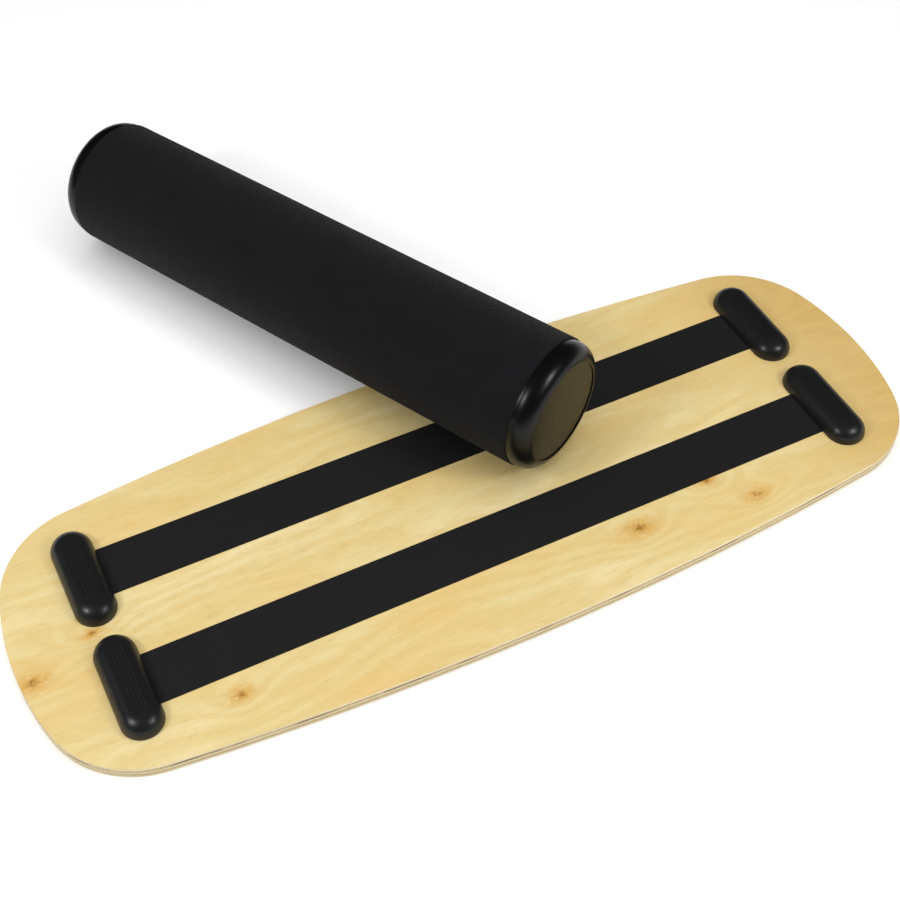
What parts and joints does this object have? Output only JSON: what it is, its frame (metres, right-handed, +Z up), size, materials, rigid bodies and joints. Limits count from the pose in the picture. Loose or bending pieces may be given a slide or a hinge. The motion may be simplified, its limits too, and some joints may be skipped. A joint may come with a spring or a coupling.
{
  "type": "roller balance board",
  "caption": "Long plywood rocker deck with rounded ends, track strips and moulded stops on its underside, and a loose fabric-sleeved roller that it rolls and tips on.",
  "frame": {"origin": "centre of the deck's flat standing face, which lies on the floor", "axes": "+X along the deck, +Y across it to the side where the roller's far end lies, +Z up from the standing face to the track side"},
  "size_m": [0.7998, 0.6416, 0.1358],
  "materials": {
    "plywood_veneer": "clear satin varnish over pale birch face and core veneers",
    "plywood_cross_veneer": "cross veneers, end grain at the deck's edge, clear varnish",
    "track_tape": "black satin self-adhesive track strip",
    "stop_moulding": "moulded black rubber, semi-gloss",
    "stop_insert": "moulded black rubber, ribbed, satin",
    "zinc_screw": "zinc plated",
    "pipe": "extruded grey pipe",
    "sleeve_fabric": "tight black knitted fabric, matte",
    "cap_moulding": "injection-moulded black plastic, glossy"
  },
  "bodies": {
    "board": {"deck_ply_1": "plywood_veneer", "deck_ply_2": "plywood_cross_veneer", "deck_ply_3": "plywood_veneer", "deck_ply_4": "plywood_cross_veneer", "deck_ply_5": "plywood_veneer", "track_strip_back": "track_tape", "track_strip_front": "track_tape", "stop_back_left": "stop_moulding", "stop_back_right": "stop_moulding", "stop_front_left": "stop_moulding", "stop_front_right": "stop_moulding", "stop_insert_back_left": "stop_insert", "stop_insert_back_right": "stop_insert", "stop_insert_front_left": "stop_insert", "stop_insert_front_right": "stop_insert", "stop_screws": "zinc_screw"},
    "roller": {"roller_tube": "pipe", "roller_sleeve": "sleeve_fabric", "roller_cap_near": "cap_moulding", "roller_cap_far": "cap_moulding"}
  },
  "joints": [
    {"name": "roller_travel", "type": "slide", "parent": "board", "child": "roller", "axis": [1, 0, 0], "range_m": [-0.308, 0.215]}
  ]
}
